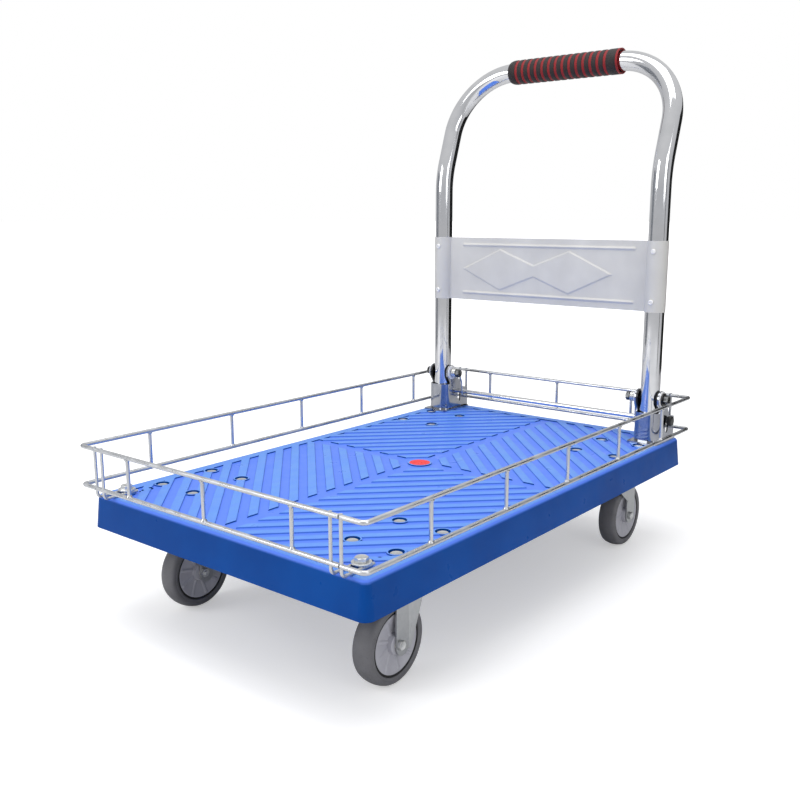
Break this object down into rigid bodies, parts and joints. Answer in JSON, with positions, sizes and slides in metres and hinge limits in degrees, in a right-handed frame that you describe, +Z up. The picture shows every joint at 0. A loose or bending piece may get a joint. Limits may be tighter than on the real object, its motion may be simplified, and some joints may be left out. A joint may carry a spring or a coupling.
{
  "type": "folding platform cart",
  "caption": "Folding platform cart: moulded ribbed deck on rigid and swivel casters, low wire guard rail and a bent tube push handle that folds over the deck.",
  "frame": {"origin": "floor point under the middle of the whole cart's box", "axes": "+X towards the deck's end away from the handle, +Y to the left of someone facing +X, +Z up"},
  "size_m": [1.0154, 0.615, 0.9866],
  "materials": {
    "deck_blue_plastic": "moulded, light blue top over dark blue sides",
    "disc_red_plastic": "glossy",
    "zinc_steel": "zinc plated",
    "galvanised_sheet": "pressed and zinc plated",
    "tyre_rubber": "grey, satin",
    "hub_plastic": "moulded, satin",
    "bush_plastic": "plain",
    "rail_chrome": "plated wire",
    "tube_chrome": "polished",
    "bracket_chrome": "polished pressed sheet",
    "panel_grey": "light grey, satin",
    "cap_white": "glossy",
    "black_plastic": "satin",
    "black_steel": "black oxide",
    "grip_foam": "soft closed foam",
    "grip_red": "soft",
    "spring_steel": "bright wire"
  },
  "bodies": {
    "base": {"deck_shell": "deck_blue_plastic", "deck_centre_disc": "disc_red_plastic", "caster_bolts": "zinc_steel", "caster_washers": "zinc_steel", "caster_nuts": "zinc_steel", "rail_clamp_screws": "zinc_steel", "rail_clamp_washers": "zinc_steel", "bracket_bolts": "zinc_steel", "bracket_washers": "zinc_steel", "bracket_nuts": "zinc_steel", "front_axle_left": "zinc_steel", "front_axle_right": "zinc_steel", "front_fork_left": "galvanised_sheet", "rear_plate_left": "galvanised_sheet", "rear_kingpin_left": "zinc_steel", "bracket_left": "bracket_chrome", "lock_spring_left": "spring_steel", "front_fork_right": "galvanised_sheet", "rear_plate_right": "galvanised_sheet", "rear_kingpin_right": "zinc_steel", "bracket_right": "bracket_chrome", "lock_spring_right": "spring_steel", "rail_front": "rail_chrome", "rail_rear": "rail_chrome", "rail_left": "rail_chrome", "rail_right": "rail_chrome", "pivot_washers": "cap_white", "hinge_liners": "black_plastic", "pivot_discs": "black_plastic", "pivot_sleeves": "black_plastic", "pivot_bolts": "black_steel", "pivot_nuts": "black_steel"},
    "handle": {"handle_tube": "tube_chrome", "handle_panel": "panel_grey", "handle_panel_screws": "cap_white", "handle_tube_plugs": "black_plastic", "grip_foam": "grip_foam", "grip_rings": "grip_red"},
    "lock_bar": {"lock_rod": "tube_chrome", "lock_rod_caps": "black_plastic"},
    "caster_left": {"rear_fork_left": "galvanised_sheet", "rear_balls_left": "zinc_steel", "rear_axle_left": "zinc_steel"},
    "front_wheel_left": {"front_tyre_left": "tyre_rubber", "front_hub_left": "hub_plastic", "front_bush_left": "bush_plastic"},
    "rear_wheel_left": {"rear_tyre_left": "tyre_rubber", "rear_hub_left": "hub_plastic", "rear_bush_left": "bush_plastic"},
    "caster_right": {"rear_fork_right": "galvanised_sheet", "rear_balls_right": "zinc_steel", "rear_axle_right": "zinc_steel"},
    "front_wheel_right": {"front_tyre_right": "tyre_rubber", "front_hub_right": "hub_plastic", "front_bush_right": "bush_plastic"},
    "rear_wheel_right": {"rear_tyre_right": "tyre_rubber", "rear_hub_right": "hub_plastic", "rear_bush_right": "bush_plastic"}
  },
  "joints": [
    {"name": "handle_fold", "type": "hinge", "parent": "base", "child": "handle", "pos_m": [-0.40967, 0, 0.3035], "axis": [0, 1, 0], "range_deg": [0, 90]},
    {"name": "lock_press", "type": "slide", "parent": "base", "child": "lock_bar", "axis": [0, 0, -1], "range_m": [0, 0.02], "stiffness_N_per_m": 1500, "springref_m": -0.005, "deforming": ["lock_spring_left", "lock_spring_right"]},
    {"name": "caster_swivel_left", "type": "hinge", "parent": "base", "child": "caster_left", "pos_m": [-0.31432, 0.216, 0.1454], "axis": [0, 0, 1], "continuous": true},
    {"name": "front_wheel_spin_left", "type": "hinge", "parent": "base", "child": "front_wheel_left", "pos_m": [0.35618, 0.216, 0.0635], "axis": [0, 1, 0], "continuous": true},
    {"name": "rear_wheel_spin_left", "type": "hinge", "parent": "caster_left", "child": "rear_wheel_left", "pos_m": [-0.38032, 0.216, 0.0635], "axis": [0, 1, 0], "continuous": true},
    {"name": "caster_swivel_right", "type": "hinge", "parent": "base", "child": "caster_right", "pos_m": [-0.31432, -0.216, 0.1454], "axis": [0, 0, 1], "continuous": true},
    {"name": "front_wheel_spin_right", "type": "hinge", "parent": "base", "child": "front_wheel_right", "pos_m": [0.35618, -0.216, 0.0635], "axis": [0, 1, 0], "continuous": true},
    {"name": "rear_wheel_spin_right", "type": "hinge", "parent": "caster_right", "child": "rear_wheel_right", "pos_m": [-0.38032, -0.216, 0.0635], "axis": [0, 1, 0], "continuous": true}
  ]
}
